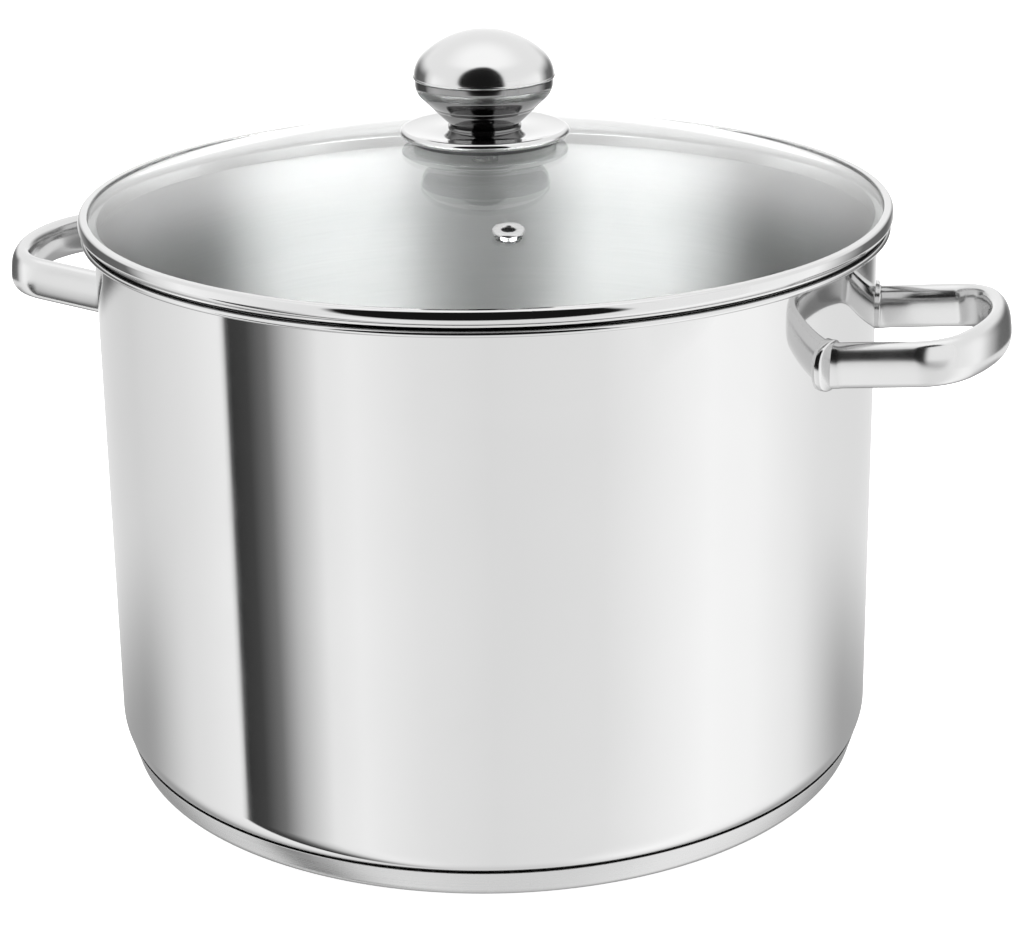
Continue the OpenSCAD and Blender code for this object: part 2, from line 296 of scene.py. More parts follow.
class Shader(Nodes):
    """A Principled material with procedural patterns."""

    def __init__(self, name):
        self.material = bpy.data.materials.new(name)
        self.material.use_nodes = True
        self.tree = self.material.node_tree
        self.bsdf = self.tree.nodes["Principled BSDF"]
        self.coords = self.tree.nodes.new("ShaderNodeTexCoord").outputs["Object"]

    def set(self, **values):
        for name, value in values.items():
            self.bsdf.inputs[name.replace("_", " ")].default_value = value
        return self

    def turned(self, along, across):
        """Coordinates round the Z axis: few changes along the turning, many across it."""
        split = self.node("ShaderNodeSeparateXYZ", {0: self.coords})
        x, y, z = (split.outputs[i] for i in range(3))
        angle = self.math("ARCTAN2", y, x)
        squares = [self.math("MULTIPLY", side, side) for side in (x, y)]
        radius = self.math("SQRT", self.math("ADD", *squares))
        merged = self.node("ShaderNodeCombineXYZ", {
            0: self.math("MULTIPLY", angle, along),
            1: self.math("MULTIPLY", radius, across),
            2: self.math("MULTIPLY", z, across),
        })
        return merged.outputs[0]

    def stretched(self, x, y, z):
        made = self.node("ShaderNodeMapping", {"Vector": self.coords, "Scale": (x, y, z)})
        return made.outputs[0]

    def noise(self, scale, detail=4.0, vector=None, distortion=0.0):
        made = self.node("ShaderNodeTexNoise", {
            "Vector": vector or self.coords,
            "Scale": scale,
            "Detail": detail,
            "Distortion": distortion,
        })
        return made.outputs["Fac"]

    def spread(self, value, lowest, highest, start=0.3, end=0.7):
        """Maps the middle of a 0 to 1 pattern to a range."""
        made = self.node("ShaderNodeMapRange", {
            "Value": value, "From Min": start, "From Max": end,
            "To Min": lowest, "To Max": highest,
        })
        return made.outputs["Result"]

    def link(self, value, name):
        self.tree.links.new(value, self.bsdf.inputs[name])

    def bump(self, height, strength, distance=0.0001):
        made = self.node("ShaderNodeBump", {
            "Height": height, "Strength": strength, "Distance": distance,
        })
        self.link(made.outputs["Normal"], "Normal")


def mix_colour_input(node, name):
    return [socket for socket in node.inputs if socket.name == name and socket.type == "RGBA"][0]


def colour_between(shader, value, first, second):
    """Colour mix of two constant tones by a pattern."""
    node = shader.tree.nodes.new("ShaderNodeMix")
    node.data_type = "RGBA"
    shader.tree.links.new(value, node.inputs[0])
    mix_colour_input(node, "A").default_value = (*first, 1)
    mix_colour_input(node, "B").default_value = (*second, 1)
    return [socket for socket in node.outputs if socket.type == "RGBA"][0]


# ---------------------------------------------------------------- materials

def polished_steel(name, turned=True, roughness=(0.035, 0.07), buffing=0.02, tone=0.65):
    """Mirror-polished stainless steel with faint buffing lines, smears and hairline scratches."""
    s = Shader(name).set(Metallic=1.0)
    smear = s.noise(14, 5, distortion=0.6)
    s.link(colour_between(s, smear, (tone - 0.02,) * 3, (tone + 0.02,) * 3), "Base Color")
    haze = s.noise(60, 6, distortion=0.4)
    s.link(s.spread(haze, *roughness), "Roughness")
    lines = s.turned(1.5, 900) if turned else s.stretched(900, 40, 900)
    fine = s.noise(1, 3, lines)
    scratches = s.spread(s.noise(1, 2, s.stretched(260, 1800, 700), 1.5), 0, 1, 0.66, 0.72)
    s.bump(s.math("ADD", fine, s.math("MULTIPLY", scratches, 0.6)), buffing, 0.00005)
    return s.material


def brushed_inside(name):
    """Inner wall and floor: circular brushing, which spreads what it mirrors up and down."""
    s = Shader(name).set(Metallic=1.0, Anisotropic=1.0, Anisotropic_Rotation=0.25)
    streaks = s.noise(1, 5, s.turned(3, 1400))
    broad = s.noise(1, 3, s.turned(6, 160))
    pattern = s.math("ADD", s.math("MULTIPLY", streaks, 0.65), s.math("MULTIPLY", broad, 0.35))
    s.link(colour_between(s, pattern, (0.44, 0.44, 0.44), (0.56, 0.56, 0.56)), "Base Color")
    s.link(s.spread(pattern, 0.4, 0.46), "Roughness")
    s.bump(streaks, 0.05, 0.00005)
    return s.material


def satin_steel(name):
    """Fine turned satin, as on the base cap and the small fittings."""
    s = Shader(name).set(Metallic=1.0)
    rings = s.noise(1, 4, s.turned(1, 1600))
    cloud = s.noise(35, 4)
    s.link(colour_between(s, cloud, (0.55, 0.55, 0.55), (0.62, 0.62, 0.62)), "Base Color")
    s.link(s.spread(s.math("MULTIPLY", s.math("ADD", rings, cloud), 0.5), 0.22, 0.33), "Roughness")
    s.bump(rings, 0.08, 0.00005)
    return s.material


def rolled_aluminium(name):
    s = Shader(name).set(Metallic=1.0)
    grain = s.noise(1, 5, s.stretched(1400, 60, 1400))
    s.link(colour_between(s, grain, (0.58, 0.58, 0.6), (0.72, 0.72, 0.73)), "Base Color")
    s.link(s.spread(grain, 0.34, 0.5), "Roughness")
    s.bump(grain, 0.1, 0.00005)
    return s.material


def clear_glass(name):
    """Toughened glass: clear and faintly green, with wiping marks that only tint it.

    It has no roughness at all, which is how make_world tells what it mirrors."""
    s = Shader(name).set(IOR=1.5, Roughness=0.0)
    s.bsdf.inputs["Transmission Weight"].default_value = 1.0
    wipes = s.noise(9, 5, distortion=1.2)
    s.link(colour_between(s, wipes, (0.975, 0.99, 0.982), (0.985, 0.997, 0.992)), "Base Color")
    return s.material


def painted_shade_steel(name):
    """Rough steel painted near black on the hidden underside of the rim: painted shade, so that the
    pot's lip mirrors a dark gap under the rim.
    """
    s = Shader(name).set(Metallic=1.0)
    scale = s.noise(90, 5)
    s.link(colour_between(s, scale, (0.012, 0.012, 0.012), (0.03, 0.03, 0.03)), "Base Color")
    s.link(s.spread(scale, 0.5, 0.65), "Roughness")
    s.bump(scale, 0.1, 0.00005)
    return s.material


def silicone(name):
    s = Shader(name)
    dust = s.noise(220, 6)
    s.link(colour_between(s, dust, (0.045, 0.045, 0.047), (0.075, 0.075, 0.077)), "Base Color")
    s.link(s.spread(dust, 0.5, 0.68), "Roughness")
    s.bump(dust, 0.15, 0.0001)
    return s.material


STEEL = polished_steel("polished_steel")
BUFFED = polished_steel("buffed_steel", roughness=(0.12, 0.16))
# painted shade: a darker tone on the knob's lower cup, which the plate below also mirrors
SHADE_DARKENED_STEEL = polished_steel("shade_darkened_steel", roughness=(0.06, 0.1), tone=0.27)
TUBE_STEEL = polished_steel("buffed_tube", turned=False, roughness=(0.13, 0.18))
INSIDE_STEEL = brushed_inside("brushed_inside")
SATIN = satin_steel("satin_steel")
ALUMINIUM = rolled_aluminium("rolled_aluminium")
GLASS = clear_glass("toughened_glass")
SILICONE = silicone("silicone")
# painted shade: near-black steel for the rim's hidden underside
PAINTED_SHADE_STEEL = painted_shade_steel("painted_shade_steel")


def add(piece, body, slot, *nodes):
    """Rides a piece on its body, in place of the CAD nodes it stands for."""
    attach(piece, body)
    if nodes:
        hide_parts(*nodes)
    return piece


# ---------------------------------------------------------------- pot

def pot_shell():
    fillet = (FLANGE_R, POT_TOP - WALL - LIP_FILLET)
    bead = (FLANGE_R + BEAD, POT_TOP - BEAD)
    bead_start = 180 - math.degrees(math.asin((BEAD - WALL) / BEAD))
    corner = (OUTER_R - CORNER, FLOOR_UNDER + CORNER)
    outside = [(0, FLOOR_UNDER)]
    outside += [(r, FLOOR_UNDER) for r in BASE_RINGS]
    outside += arc(corner, CORNER, -90, 0, 24)
    outside += arc(fillet, LIP_FILLET, 180, 90, 14)
    outside += arc(bead, BEAD, bead_start, 450, 30)
    inside = arc(fillet, LIP_FILLET + WALL, 90, 180, 16)
    inside += arc(corner, CORNER - WALL, 0, -90, 24)
    inside += [(r, FLOOR_UNDER + WALL) for r in reversed(BASE_RINGS)]
    inside += [(0, FLOOR_UNDER + WALL)]
    first_inside = len(outside) + POLISHED_STEPS
    return lathe("pot_shell", outside + inside, [STEEL, INSIDE_STEEL],
                 pick=lambda step: int(first_inside <= step < len(outside + inside) - 1))


def base_cup():
    """Steel cap round the aluminium core, with a rounded edge that stands off the pot."""
    gap = 0.05
    foot = (STAND_R, CAP_FOOT)
    corner = (OUTER_R - CORNER + gap, FLOOR_UNDER + CORNER)
    drop = FLOOR_UNDER + CORNER - CAP_TOP + CAP_LIP_DROP
    top_angle = -math.degrees(math.asin(drop / (CORNER + gap)))
    edge = (CAP_TOP_R - CAP_EDGE_ROUND, CAP_TOP - CAP_EDGE_ROUND)
    outline = [(0, 0)]
    outline += [(r, 0) for r in CAP_RINGS]
    outline += arc(foot, CAP_FOOT, -90, CAP_SIDE_TURN, 20)
    outline += arc(edge, CAP_EDGE_ROUND, CAP_SIDE_TURN, 130, 8)
    outline += arc(corner, CORNER + gap, top_angle, top_angle - 6, 4)
    inner_top = outline[-1]
    outline += [(inner_top[0] - CAP_LIP_IN, inner_top[1] - CAP_LIP_TALL)]
    outline += arc(foot, CAP_FOOT - SHEET, CAP_SIDE_TURN, -90, 16)
    outline += [(0, SHEET)]
    return lathe("base_cup", outline, [SATIN])


# ---------------------------------------------------------------- handles

def handle_stations():
    """Middle line of the right handle, as (x out from the wall, y, direction in which
    the tube's outer side faces, flare)."""
    turn = math.pi / 2 - BEND_TURN
    bend_y = HANDLE_HALF_W - BEND_R
    root = math.sqrt((OUTER_R + FOOT_T) ** 2 - HANDLE_HALF_W ** 2) - OUTER_R
    leg = [(root + away, flare) for away, flare in WELD]
    leg += [(root + (BEND_X - root) * i / 6, 0) for i in range(2, 6)]
    half = [(x, -HANDLE_HALF_W, -math.pi / 2, flare) for x, flare in leg]
    for i in range(25):
        a = -math.pi / 2 + BEND_TURN * i / 24
        half.append((BEND_X + BEND_R * math.cos(a), -bend_y + BEND_R * math.sin(a), a, 0))
    for i in range(1, 20):
        a = -turn + turn * i / 20
        half.append((FRONT_X + FRONT_R * math.cos(a), FRONT_R * math.sin(a), a, 0))
    other = [(x, -y, -a, flare) for x, y, a, flare in reversed(half)]
    return half + [(REACH, 0, 0, 0)] + other


def tube_ring(station, side):
    x, y, a, flare = station
    ring = []
    for u, v in superellipse(TUBE_W * (1 + flare), TUBE_H * (1 + flare / 2), TUBE_POWER, 56):
        px = x + u * math.cos(a)
        point = [
            OUTER_R + px * math.cos(TILT) - v * math.sin(TILT),
            y + u * math.sin(a),
            HANDLE_Z + px * math.sin(TILT) + v * math.cos(TILT),
        ]
        ring.append(point)
    if flare == ROOT_FLARE:
        ring = [on_foot(p) for p in ring]
    return [(side * p[0], p[1], p[2]) for p in ring]


def on_foot(point):
    """Slides a point along the leg until it is just inside the foot."""
    x = math.sqrt((OUTER_R + FOOT_T - FOOT_SINK) ** 2 - point[1] ** 2)
    return [x, point[1], point[2] + (x - point[0]) * math.tan(TILT)]


def grip(name, side):
    rings = [tube_ring(station, side) for station in handle_stations()]
    return loft(name, rings, [TUBE_STEEL])


def foot_plate(name, side, end):
    """A weld foot curved to the wall, slightly pillowed; end is -1 in front and 1 behind."""
    rings = []
    for inset, height in FOOT_PILLOW:
        ring = []
        for u, v in superellipse(FOOT_W - 2 * inset, FOOT_H - 2 * inset, FOOT_POWER, 72):
            y = end * (HANDLE_HALF_W + FOOT_SHIFT) + u
            x = math.sqrt((OUTER_R + height) ** 2 - y ** 2)
            ring.append((side * x, y, HANDLE_Z + v))
        rings.append(ring)
    return loft(name, rings, [TUBE_STEEL])


# ---------------------------------------------------------------- lid

def lid_dome():
    """Domed glass with ground edges, a centre hole and a drilled steam vent."""
    top = dome_arc(DOME_R, HUB_HOLE_R + GRIND, GLASS_R - GRIND)
    edge_top = dome_height(DOME_R, GLASS_R) - GRIND
    edge_low = dome_height(DOME_R - GLASS_T, GLASS_R) + GRIND
    under = dome_arc(DOME_R - GLASS_T, GLASS_R - GRIND, HUB_HOLE_R + GRIND)
    hole_top = dome_height(DOME_R, HUB_HOLE_R) - GRIND
    hole_low = dome_height(DOME_R - GLASS_T, HUB_HOLE_R) + GRIND
    outline = top + [(GLASS_R, edge_top), (GLASS_R, edge_low)] + under
    outline += [(HUB_HOLE_R, hole_low), (HUB_HOLE_R, hole_top)]
    dome = lathe("lid_dome", outline, [GLASS])
    drill(dome, VENT_HOLE_R)
    return dome


def vent_matrix():
    """From the glass's outer face at the vent to the row frame, in metres."""
    tilt = math.asin(VENT_OFFSET / DOME_R)
    return (Matrix.Rotation(VENT_ANGLE, 4, "Z")
            @ Matrix.Translation((0, 0, DOME_Z * MM))
            @ Matrix.Rotation(tilt, 4, "X")
            @ Matrix.Translation((0, 0, DOME_R * MM)))


def drill(piece, radius):
    """Cuts the vent hole square through the glass."""
    depth = 3 * GLASS_T
    outline = [(0, -depth), (radius, -depth), (radius, depth / 2), (0, depth / 2)]
    bit = lathe("vent_drill", outline, [GLASS], even_angles(AROUND_DRILL), matrix=vent_matrix())
    cut = piece.modifiers.new("vent", "BOOLEAN")
    cut.object = bit
    cut.operation = "DIFFERENCE"
    cut.solver = "EXACT"
    dg = bpy.context.evaluated_depsgraph_get()
    drilled = bpy.data.meshes.new_from_object(piece.evaluated_get(dg))
    piece.modifiers.clear()
    piece.data = drilled
    drilled.name = piece.name
    drilled.set_sharp_from_angle(angle=SHARP)
    bpy.data.objects.remove(bit)


def rim_face():
    """The rim's outer side: a round underside, a bulging face that leans in, and a tight top."""
    low_c = (RIM_R - RIM_LOW_ROUND, RIM_Z + HEM_LIFT + RIM_LOW_ROUND)
    face_c = (RIM_R - RIM_FACE_R, low_c[1])
    reach = RIM_FACE_R - RIM_TOP_ROUND
    lean = math.asin((RIM_TOP - RIM_TOP_ROUND - low_c[1]) / reach)
    top_c = (face_c[0] + reach * math.cos(lean), face_c[1] + reach * math.sin(lean))
    turn = math.degrees(lean)
    return (arc(low_c, RIM_LOW_ROUND, -90, 0, 14)
            + arc(face_c, RIM_FACE_R, 0, turn, 14)[1:]
            + arc(top_c, RIM_TOP_ROUND, turn, 90, 12)[1:])


def rim_band():
    """Rolled steel rim that grips the glass, its seat on the lip and its centring skirt."""
    play = 0.04
    outer_glass, inner_glass = DOME_R + play, DOME_R - GLASS_T - play
    slot_r = GLASS_R + play
    skirt_in = SKIRT_R - SHEET
    skirt_c = (SKIRT_R - SHEET / 2, SKIRT_LOW + SHEET / 2)
    outline = rim_face()
    seam_steps = range(UNDERSIDE_STEPS, len(outline) - 2)
    top_edge = (DOME_EDGE_R + RIM_EDGE_ROUND, RIM_TOP - RIM_EDGE_ROUND)
    outline += arc(top_edge, RIM_EDGE_ROUND, 90, 180, 6)
    outline += dome_arc(outer_glass, DOME_EDGE_R, slot_r, 6)
    outline += dome_arc(inner_glass, slot_r, DOME_EDGE_R, 6)
    outline += [(DOME_EDGE_R, RIM_Z + SHEET), (skirt_in + RIM_EDGE_ROUND, RIM_Z + SHEET)]
    outline += [(skirt_in, RIM_Z + SHEET - RIM_EDGE_ROUND)]
    outline += arc(skirt_c, SHEET / 2, 180, 360, 10)
    # From here on the rim's underside is painted near black: painted shade for the gap under the
    # rim.
    first_painted_shade = len(outline)
    outline += [(SKIRT_R, RIM_Z), (SEAT_R, RIM_Z), (HEM_R, RIM_Z + HEM_LIFT)]
    seam = RIM_JOINT_ANGLE - math.pi / 2

    def joint_mark(angle, step):
        offset = (angle - seam + math.pi) % (2 * math.pi) - math.pi
        in_joint = abs(offset) < RIM_JOINT_HALF / 2 and step in seam_steps
        return -RIM_JOINT_DEPTH if in_joint else 0

    offsets = [seam % (2 * math.pi) + RIM_JOINT_HALF * k for k in (-1, -0.3, 0.3, 1)]
    angles = sorted(even_angles(AROUND) + offsets)
    # The underside and the lowest steps of the face take the painted shade steel.
    return lathe("rim_band", outline, [STEEL, PAINTED_SHADE_STEEL], angles, dent=joint_mark,
                 pick=lambda step: int(step >= first_painted_shade or step < UNDERSIDE_STEPS))


def steam_eyelet():
    play = 0.05
    flange_r, flange_t, tube_r, bore_r = 5.4, 0.9, 3.3, 2.2
    foot_r, foot_t = 4.7, 0.6
    foot_low = -GLASS_T - play - foot_t
    roll, edge_round, bevel, foot_round = 0.8, 0.25, 0.3, 0.2
    outline = arc((flange_r - edge_round, play + edge_round), edge_round, -90, 0, 4)
    outline += arc((flange_r - flange_t, play), flange_t, 15, 80, 10)
    outline += arc((bore_r + roll, play + flange_t - roll), roll, 90, 180, 10)
    outline += [(bore_r, foot_low + bevel), (bore_r + bevel, foot_low)]
    outline += [(foot_r - foot_round, foot_low)]
    outline += arc((foot_r - foot_round, foot_low + foot_round), foot_round, -90, 0, 4)
    outline += [(foot_r, foot_low + foot_t), (tube_r, foot_low + foot_t), (tube_r, play)]
    return lathe("steam_eyelet", outline, [SATIN], even_angles(AROUND_EYELET), matrix=vent_matrix())


# ---------------------------------------------------------------- knob

def crown_outline(radius, side_r, rise, steps=28):
    """A tight arc at the edge and a wide arc over the top."""
    across = radius - side_r
    top_r = (across ** 2 + rise ** 2 - side_r ** 2) / (2 * (rise - side_r))
    turn = math.degrees(math.asin(across / (top_r - side_r)))
    return (arc((across, SEAM_Z), side_r, 0, 90 - turn, steps)
            + arc((0, SEAM_Z + rise - top_r), top_r, 90 - turn, 90, steps)[1:])


def knob_crown():
    """Domed top of the knob, with its rolled edge."""
    rise = KNOB_TOP - SEAM_Z
    roll = (KNOB_R - SHEET / 2, SEAM_Z)
    outer = crown_outline(KNOB_R, KNOB_SIDE_R, rise)
    inner = crown_outline(KNOB_R - SHEET, KNOB_SIDE_R - SHEET, rise - SHEET)
    outline = arc(roll, KNOB_ROLL_R, -225, 45, 20) + outer[1:] + list(reversed(inner[1:]))
    return lathe("knob_crown", outline, [BUFFED], even_angles(AROUND_KNOB))


def knob_cup():
    """Lower half of the knob, pressed from sheet, with a beaded step round its middle."""
    slope = math.radians(CUP_LEAN)
    edge_round, clearance = 0.25, 0.05

    def skin(radius, bend_r, lowest):
        centre = (radius - bend_r, SEAM_Z - CUP_SHOULDER - SHEET)
        bend = arc(centre, bend_r, -CUP_LEAN, 0, 18)
        edge = bend[0]
        run = (edge[1] - lowest) * math.tan(slope)
        return edge, run, bend

    radius = KNOB_R - SHEET / 2
    low_z = PLATE_TOP + COLLAR_H
    edge, run, bend = skin(radius, CUP_ROUND_R, low_z)
    outline = [(BORE_R, PLATE_TOP), (COLLAR_R - edge_round, PLATE_TOP)]
    outline += arc((COLLAR_R - edge_round, PLATE_TOP + edge_round), edge_round, -90, 0, 4)
    outline += [(COLLAR_R, low_z - clearance), (edge[0] - run, low_z)]
    for share, dip in CUP_STEPS:
        along = (edge[0] - run + run * share, low_z + (edge[1] - low_z) * share)
        outline.append((along[0] - dip * math.cos(slope), along[1] + dip * math.sin(slope)))
    outline += bend + [(radius, SEAM_Z - SHEET)]
    edge, run, bend = skin(radius - SHEET, CUP_ROUND_R - SHEET, low_z + SHEET)
    outline += [(radius - SHEET, SEAM_Z - SHEET)] + list(reversed(bend))
    outline += [(edge[0] - run, low_z + SHEET), (BORE_R, low_z + SHEET)]
    # The cup's darker steel tone is painted shade.
    return lathe("knob_cup", outline, [SHADE_DARKENED_STEEL], even_angles(AROUND_KNOB))


def knob_dish():
    """Polished plate under the knob, with a rounded edge and a shallow dish."""
    edge = (PLATE_TOP - PLATE_LOW) / 2
    floor_z = PLATE_TOP - DISH_DEPTH
    outline = [(BORE_R, PLATE_LOW)]
    outline += arc((PLATE_R - edge, PLATE_LOW + edge), edge, -90, 90, 30)
    outline += [(PLATE_R - edge - DISH_LIP, PLATE_TOP - DISH_LIP_DROP)]
    outline += [(PLATE_R - edge - DISH_RAMP, floor_z), (COLLAR_R + 2 * DISH_RAMP, floor_z)]
    outline += [(COLLAR_R + DISH_RAMP, PLATE_TOP), (BORE_R, PLATE_TOP)]
    return lathe("knob_dish", outline, [STEEL], even_angles(AROUND_PLATE))


# ---------------------------------------------------------------- assembly

add(pot_shell(), "pot", "polished_steel", "pot_body")
add(base_cup(), "pot", "satin_steel", "base_cap")
for side, word in ((1, "right"), (-1, "left")):
    add(grip(f"{word}_grip", side), "pot", "polished_steel", f"handle_{word}")
    for end, place in ((-1, "front"), (1, "rear")):
        plate = foot_plate(f"{word}_{place}_foot", side, end)
        add(plate, "pot", "polished_steel", f"foot_{word}_{place}")

add(lid_dome(), "lid", "tempered_glass", "lid_glass")
add(rim_band(), "lid", "polished_steel", "lid_rim")
add(steam_eyelet(), "lid", "satin_steel", "vent_eyelet")
add(knob_crown(), "lid", "polished_steel", "knob_cap")
add(knob_cup(), "lid", "polished_steel", "knob_bowl")
add(knob_dish(), "lid", "polished_steel", "knob_plate")

KEPT_NODES = {
    "base_core": ALUMINIUM,
    "knob_insert": SATIN,
    "clamp_washer": SATIN,
    "lock_washer": SATIN,
    "knob_screw": SATIN,
    "outer_gasket": SILICONE,
    "inner_gasket": SILICONE,
}
for name, material in KEPT_NODES.items():
    for cad_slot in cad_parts[name].material_slots:
        cad_slot.material = material


# ---------------------------------------------------------------- studio

CAMERA_AZIMUTH = math.radians(21.2)
CAMERA_DISTANCE = 0.8452
CAMERA_HEIGHT = 0.4182
CAMERA_PITCH = 0.296
CAMERA_YAW = 0.0105
CAMERA_ROLL = 0.0134
CAMERA_DROP = 0.1465    # how far the frame is shifted down, as a share of its width
LENS, SENSOR = 84.47, 36
CLIP_NEAR, CLIP_FAR = 0.05, 60


def make_camera():
    data = bpy.data.cameras.new("camera")
    data.lens = LENS
    data.sensor_width = SENSOR
    data.shift_y = -CAMERA_DROP
    data.clip_start, data.clip_end = CLIP_NEAR, CLIP_FAR
    camera = bpy.data.objects.new("camera", data)
    bpy.context.collection.objects.link(camera)
    heading = CAMERA_AZIMUTH - CAMERA_YAW
    forward = Vector((
        -math.sin(heading) * math.cos(CAMERA_PITCH),
        math.cos(heading) * math.cos(CAMERA_PITCH),
        -math.sin(CAMERA_PITCH),
    ))
    right = forward.cross(Vector((0, 0, 1))).normalized()
    up = right.cross(forward)
    c, s = math.cos(CAMERA_ROLL), math.sin(CAMERA_ROLL)
    level, upright = right * c - up * s, right * s + up * c
    turn = Matrix((level, upright, -forward)).transposed().to_4x4()
    place = (
        CAMERA_DISTANCE * math.sin(CAMERA_AZIMUTH),
        -CAMERA_DISTANCE * math.cos(CAMERA_AZIMUTH),
        CAMERA_HEIGHT,
    )
    camera.matrix_world = Matrix.Translation(place) @ turn
    bpy.context.scene.camera = camera


# Light levels by azimuth in degrees: 0 is towards the camera, and its right is positive.
# The table, below its far edge, is what the upright walls mirror. The room, above that
# edge, is what surfaces that lean back mirror.
TABLE = ((-180, 0.80), (-151, 0.88), (-126, 0.91), (-98, 1.11), (-82, 1.27), (-80, 0.05),
         (-73, 0.08), (-66, 0.24), (-59, 0.71), (-49, 1.19), (-39, 1.27), (-20, 1.13),
         (0, 1.06), (32, 1.11), (51, 1.27), (67, 1.39), (84, 1.35), (112, 1.10), (149, 0.93))
ROOM = ((-180, 1.2), (-165, 1.1), (-150, 0.3), (-140, 0.14), (-114, 0.2), (-104, 0.95),
        (-90, 1.35), (-60, 1.15), (0, 1.1), (60, 1.2), (100, 1.35), (112, 0.7), (124, 0.2),
        (145, 0.16), (152, 0.3), (165, 1.1))
# What shines into the pot through the glass
THROUGH_GLASS = ((-180, 1.0), (-150, 0.0), (-112, 0.0), (-102, 0.4), (-92, 3.0), (-78, 8.5),
                 (-66, 11.5), (-34, 11.5), (-22, 6.0), (-11, 1.8), (0, 0.7), (11, 1.8), (22, 6.0),
                 (34, 11.5), (72, 11.5), (84, 8.5), (96, 3.0), (106, 0.4), (116, 0.0), (150, 0.0))
LID_MIRRORS = 1.15      # the low wall behind the pot, as the lid mirrors it
LID_MIRRORS_HIGH = 0.1  # and above it
ABOVE_ROOM = 1.15
OVERHEAD = 1.4
UNDERFOOT = 0.9
THROUGH_TOP = 0.6
BACKDROP = 1.0

# Elevations in degrees between which one level eases into the next
TABLE_EDGE = -16.8
EDGE_BLUR = 0.3
UNDERFOOT_EASE = (-60, -85)
ABOVE_EASE = (2, 26)
OVERHEAD_EASE = (45, 75)
LID_EASE = (17, 36)
THROUGH_EASE = (60, 78)

# The pot's shade on the table close behind it
SHADE_ASIDE = (100, 135)
SHADE_NEAR = (-22, -27)
SHADE_DEPTH = 0.5

# The dark round the camera
DARK_CENTRE, DARK_HALF_WIDTH, DARK_UP = 15, 46, 60
DARK_SOFTNESS = 0.12
DARK_LEVEL = 0.012
DARK_NARROWS = (-12, 14)
DARK_NARROWED_BY = 0.25


class Studio(Nodes):
    """The world's node tree: light by azimuth from the camera and elevation, in degrees."""

    def __init__(self):
        self.world = bpy.data.worlds.new("studio")
        self.world.use_nodes = True
        self.tree = self.world.node_tree
        direction = self.tree.nodes.new("ShaderNodeTexCoord").outputs["Generated"]
        turned = self.node("ShaderNodeVectorRotate", {
            "Vector": direction, "Axis": (0, 0, 1), "Angle": -CAMERA_AZIMUTH,
        }, rotation_type="AXIS_ANGLE").outputs[0]
        split = self.node("ShaderNodeSeparateXYZ", {0: turned})
        x, y, z = (split.outputs[i] for i in range(3))
        degrees = 180 / math.pi
        towards = self.math("MULTIPLY", y, -1)
        self.azimuth = self.math("MULTIPLY", self.math("ARCTAN2", x, towards), degrees)
        self.elevation = self.math("MULTIPLY", self.math("ARCSINE", z), degrees)

    def ease(self, value, start, end):
        """Rises smoothly from 0 at start to 1 at end."""
        return self.node("ShaderNodeMapRange", {
            "Value": value, "From Min": start, "From Max": end, "To Min": 0, "To Max": 1,
        }, interpolation_type="SMOOTHSTEP").outputs["Result"]

    def blend(self, factor, first, second):
        kept = self.math("MULTIPLY", first, self.math("SUBTRACT", 1, factor))
        return self.math("ADD", kept, self.math("MULTIPLY", factor, second))

    def ring(self, levels):
        """Light level by azimuth."""
        share = self.math("DIVIDE", self.math("ADD", self.azimuth, 180), 360)
        ramp = self.node("ShaderNodeValToRGB", {"Fac": share})
        stops = ramp.color_ramp.elements
        stops.remove(stops[1])
        top = max(level for _, level in levels)
        for i, (angle, level) in enumerate(levels + ((180, levels[0][1]),)):
            stop = stops[0] if i == 0 else stops.new((angle + 180) / 360)
            stop.position = (angle + 180) / 360
            stop.color = (level / top, level / top, level / top, 1)
        return self.math("MULTIPLY", ramp.outputs["Color"], top)

    def doorway(self, centre, half_width, up, down, softness):
        """1 inside a round-cornered opening in the camera's direction, 0 outside. Its right
        side draws in with height."""
        on_right = self.math("GREATER_THAN", self.azimuth, 0)
        higher = self.ease(self.elevation, *DARK_NARROWS)
        narrowed = self.math("MULTIPLY", higher, self.math("MULTIPLY", on_right, DARK_NARROWED_BY))
        narrowing = self.math("SUBTRACT", 1, narrowed)
        across = self.math("DIVIDE", self.azimuth, self.math("MULTIPLY", narrowing, half_width))
        height = self.math("SUBTRACT", self.elevation, centre)
        above = self.math("DIVIDE", self.math("MAXIMUM", height, 0), up)
        below = self.math("DIVIDE", self.math("MINIMUM", height, 0), down)
        upright = self.math("ADD", above, below)
        cubes = [self.math("POWER", self.math("ABSOLUTE", v), 3) for v in (across, upright)]
        return self.ease(self.math("POWER", self.math("ADD", *cubes), 1 / 3), 1, 1 - softness)


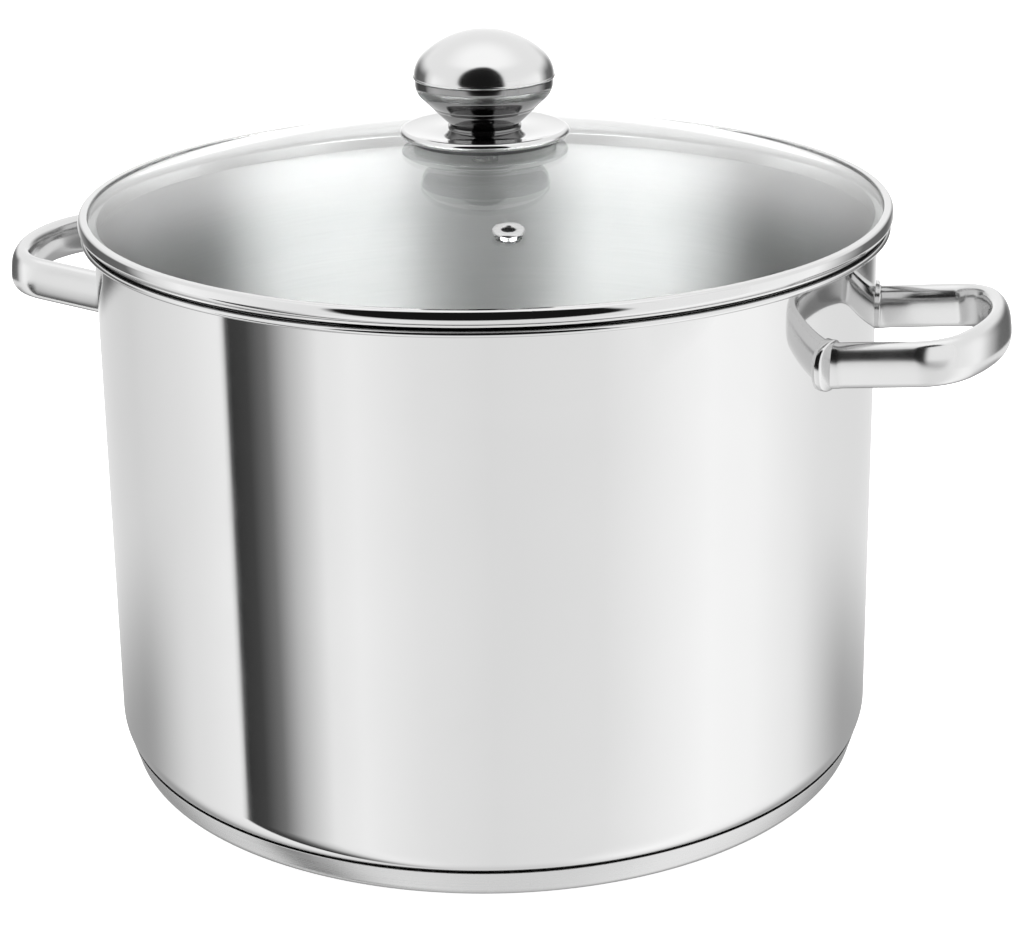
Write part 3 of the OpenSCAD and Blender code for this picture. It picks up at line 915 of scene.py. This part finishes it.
def make_world():
    """A white table in a dim room, with soft boxes at both sides and overhead, a dark card
    on the left of the table and the dark round the camera.

    Three kinds of ray see something else: what the glass mirrors, as only the glass has no
    roughness, what shines through it into the pot, and the white backdrop in the frame."""
    s = Studio()
    aside = s.ease(s.math("ABSOLUTE", s.azimuth), *SHADE_ASIDE)
    near = s.ease(s.elevation, *SHADE_NEAR)
    shaded = s.math("MULTIPLY", s.math("MULTIPLY", aside, near), SHADE_DEPTH)
    shade = s.math("SUBTRACT", 1, shaded)
    table = s.math("MULTIPLY", s.ring(TABLE), shade)
    table = s.blend(s.ease(s.elevation, *UNDERFOOT_EASE), table, UNDERFOOT)
    room = s.blend(s.ease(s.elevation, *ABOVE_EASE), s.ring(ROOM), ABOVE_ROOM)
    room = s.blend(s.ease(s.elevation, *OVERHEAD_EASE), room, OVERHEAD)
    down = DARK_CENTRE - TABLE_EDGE
    dark = s.doorway(DARK_CENTRE, DARK_HALF_WIDTH, DARK_UP, down, DARK_SOFTNESS)
    room = s.blend(dark, room, DARK_LEVEL)
    over_edge = s.ease(s.elevation, TABLE_EDGE - EDGE_BLUR, TABLE_EDGE + EDGE_BLUR)
    level = s.blend(over_edge, table, room)
    path = s.tree.nodes.new("ShaderNodeLightPath").outputs
    lid = s.blend(s.ease(s.elevation, *LID_EASE), LID_MIRRORS, LID_MIRRORS_HIGH)
    level = s.blend(path["Is Singular Ray"], level, lid)
    through = s.blend(s.ease(s.elevation, *THROUGH_EASE), s.ring(THROUGH_GLASS), THROUGH_TOP)
    level = s.blend(path["Is Transmission Ray"], level, through)
    level = s.blend(path["Is Camera Ray"], level, BACKDROP)
    background = s.tree.nodes["Background"]
    s.tree.links.new(level, background.inputs["Color"])
    background.inputs["Strength"].default_value = 1.0
    bpy.context.scene.world = s.world


FLOOR_SIZE, FLOOR_GLOW = 24, 0.7

CARD_NEAR = Vector((0.180, -0.150, 0.14))
CARD_FAR = Vector((0.300, -0.065, 0.14))
CARD_UP = Vector((0, 0, 0.17))
CARD_GLOW = 1.2
CARD_FADE = 0.14        # share of the card over which each edge fades

LAMP_SIZE, LAMP_WATTS = 1.6, 34
LAMP_PLACE = (-0.2, -0.1, 2.2)


def make_floor():
    """Plain pale floor. Steel doesn't mirror it: it mirrors the table of the world."""
    bpy.ops.mesh.primitive_plane_add(size=FLOOR_SIZE)
    floor = bpy.context.active_object
    floor.name = "floor"
    s = Shader("pale_floor")
    mottle = s.noise(1.5, 3)
    s.link(colour_between(s, mottle, (0.93, 0.93, 0.93), (0.95, 0.95, 0.95)), "Base Color")
    s.set(Roughness=0.9, Emission_Color=(1, 1, 1, 1), Emission_Strength=FLOOR_GLOW)
    floor.data.materials.append(s.material)
    floor.visible_glossy = False


def make_card():
    """White card beside the right handle, seen only in steel, with edges that fade."""
    corners = [CARD_NEAR, CARD_FAR, CARD_FAR + CARD_UP, CARD_NEAR + CARD_UP]
    mesh = bpy.data.meshes.new("handle_card")
    mesh.from_pydata(corners, [], [(0, 1, 2, 3)])
    card = bpy.data.objects.new("handle_card", mesh)
    bpy.context.collection.objects.link(card)
    s = Shader("card_white")
    paper = s.noise(30, 3)
    s.link(colour_between(s, paper, (0.97, 0.97, 0.97), (1, 1, 1)), "Emission Color")
    s.set(Base_Color=(0, 0, 0, 1), Roughness=1.0, Emission_Strength=CARD_GLOW)
    across = s.node("ShaderNodeSeparateXYZ", {0: s.coords.node.outputs["Generated"]}).outputs
    fades = []
    for place in (across[0], across[2]):
        from_edge = s.math("SUBTRACT", 0.5, s.math("ABSOLUTE", s.math("SUBTRACT", place, 0.5)))
        fades.append(s.spread(from_edge, 0, 1, 0.0, CARD_FADE))
    s.link(s.math("MULTIPLY", *fades), "Alpha")
    mesh.materials.append(s.material)
    card.visible_camera = False
    card.visible_diffuse = False
    card.visible_transmission = False
    card.visible_shadow = False


def make_key_light():
    """Overhead lamp, left out of what the steel mirrors and of what the glass lets through."""
    data = bpy.data.lights.new("overhead", "AREA")
    data.shape = "DISK"
    data.size = LAMP_SIZE
    data.energy = LAMP_WATTS
    lamp = bpy.data.objects.new("overhead", data)
    lamp.location = LAMP_PLACE
    lamp.visible_glossy = False
    lamp.visible_transmission = False
    bpy.context.collection.objects.link(lamp)


make_camera()
make_world()
make_floor()
make_card()
make_key_light()
bpy.context.scene.view_settings.view_transform = "Standard"
